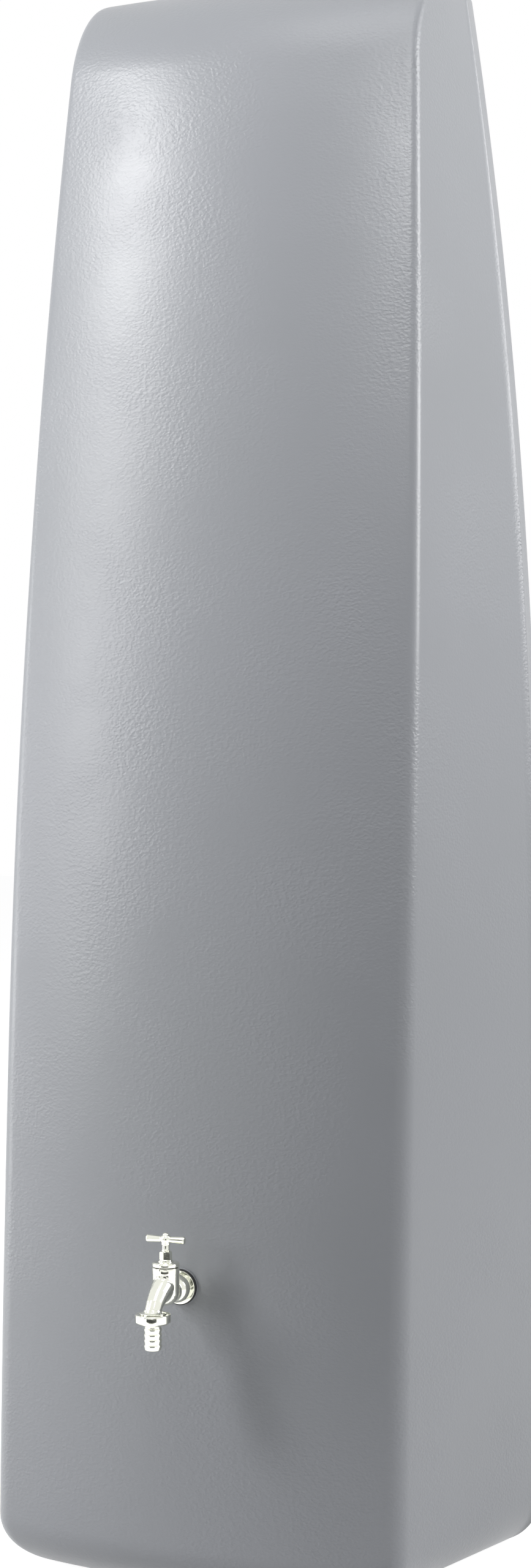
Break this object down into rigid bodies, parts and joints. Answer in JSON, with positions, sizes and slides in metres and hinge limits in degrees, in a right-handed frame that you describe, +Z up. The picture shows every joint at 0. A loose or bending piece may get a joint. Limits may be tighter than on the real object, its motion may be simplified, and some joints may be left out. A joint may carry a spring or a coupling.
{
  "type": "rain barrel",
  "caption": "Slim rainwater tank that stands against a wall, with a screw lid, a garden tap low on its bowed front and brackets to the wall.",
  "frame": {"origin": "on the floor, on the tank's middle line, 190 mm in front of the wall face", "axes": "+X to the tank's left as it faces you from the wall, to the right for someone looking at its front; +Y towards the wall; +Z up"},
  "size_m": [0.627, 0.4895, 1.886],
  "materials": {
    "tank_plastic": "grained polyethylene, zinc grey",
    "lid_plastic": "moulded polyethylene, zinc grey",
    "seal_rubber": "black sealing rubber",
    "zinc_steel": "zinc plated",
    "brass": "machined",
    "chrome": "polished chromium plate on brass"
  },
  "bodies": {
    "tank": {"tank_body": "tank_plastic", "inlet_seal": "seal_rubber", "wall_bracket_left": "zinc_steel", "wall_bracket_right": "zinc_steel", "bracket_inserts": "brass", "bracket_washers": "zinc_steel", "bracket_screws": "zinc_steel", "tap_insert": "brass", "tap_gasket": "seal_rubber", "tap_flange_ring": "chrome", "tap_body": "chrome", "bonnet_seal": "seal_rubber", "bonnet": "chrome", "gland_packing": "seal_rubber", "gland_nut": "chrome"},
    "lid_seal": {"lid_seal": "seal_rubber"},
    "lid": {"lid": "lid_plastic"},
    "valve": {"jumper": "brass", "valve_washer": "seal_rubber", "washer_nut": "brass"},
    "spindle": {"spindle": "chrome", "handle": "chrome", "handle_screw": "chrome"},
    "hose_tail": {"hose_tail": "chrome", "outlet_washer": "seal_rubber"},
    "union_nut": {"union_nut": "chrome"}
  },
  "joints": [
    {"name": "lid_lift", "type": "slide", "parent": "tank", "child": "lid_seal", "axis": [0, 0, 1], "range_m": [0, 0.018]},
    {"name": "lid_turn", "type": "hinge", "parent": "lid_seal", "child": "lid", "pos_m": [0, 0.129, 1.84], "axis": [0, 0, 1], "range_deg": [0, 540]},
    {"name": "valve_lift", "type": "slide", "parent": "tank", "child": "valve", "axis": [0, 0, 1], "range_m": [0, 0.00625]},
    {"name": "tap_turn", "type": "hinge", "parent": "valve", "child": "spindle", "pos_m": [0, -0.24497, 0.348], "axis": [0, 0, 1], "range_deg": [0, 900]},
    {"name": "tail_drop", "type": "slide", "parent": "tank", "child": "hose_tail", "axis": [0, 0, -1], "range_m": [0, 0.0058]},
    {"name": "union_nut_turn", "type": "hinge", "parent": "hose_tail", "child": "union_nut", "pos_m": [0, -0.27997, 0.325], "axis": [0, 0, -1], "range_deg": [0, 900]}
  ],
  "couplings": [
    {"joint": "lid_lift", "follows": "lid_turn", "m_per_rad": 0.0019099},
    {"joint": "valve_lift", "follows": "tap_turn", "m_per_rad": 0.00039789},
    {"joint": "tail_drop", "follows": "union_nut_turn", "m_per_rad": 0.00036749}
  ]
}
